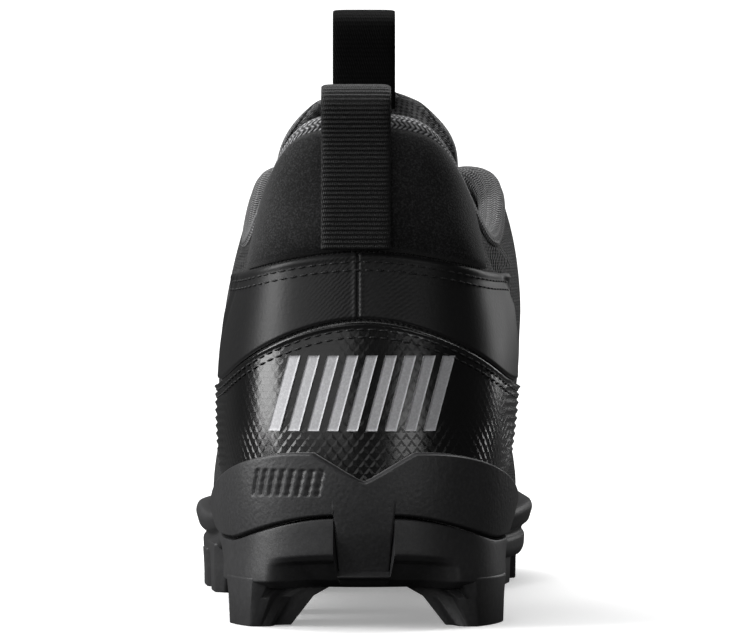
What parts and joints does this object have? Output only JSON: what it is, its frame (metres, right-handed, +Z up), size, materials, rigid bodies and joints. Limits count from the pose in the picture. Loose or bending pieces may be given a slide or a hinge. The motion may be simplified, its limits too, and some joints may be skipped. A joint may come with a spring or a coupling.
{
  "type": "american football cleat",
  "caption": "Mid-top moulded American football cleat, left shoe, with padded collar, glossy heel counter, rubber heel cradle, pull loops at heel and tongue, and studded rubber sole",
  "frame": {"origin": "on the floor under the middle of the shoe's box, studs standing on z = 0", "axes": "toe along +Y, +Z up, the inner (medial) side at +X and the outer (lateral) side at -X"},
  "size_m": [0.1116, 0.3026, 0.178],
  "materials": {
    "sole_rubber": "moulded rubber, satin black",
    "cradle_rubber": "moulded rubber, satin black",
    "mesh_fabric": "coated knit mesh, black",
    "gloss_overlay": "glossy film with a fine triangle emboss, black",
    "smooth_leather": "smooth synthetic leather, black",
    "collar_suede": "brushed suede-like fabric over foam, black",
    "tongue_fabric": "padded mesh, black",
    "webbing": "ribbed grosgrain webbing, black",
    "insole_fabric": "cloth on foam, black",
    "lace_fabric": "flat woven lace, black"
  },
  "bodies": {
    "root": {"outsole": "sole_rubber", "heel_cradle": "cradle_rubber", "upper": "mesh_fabric", "heel_counter": "gloss_overlay", "heel_band": "smooth_leather", "collar_pad": "collar_suede", "toe_cap": "gloss_overlay", "eyestay": "gloss_overlay", "tongue": "tongue_fabric", "tongue_loop": "webbing", "heel_loop": "webbing", "insole": "insole_fabric", "lace": "lace_fabric"}
  },
  "joints": []
}
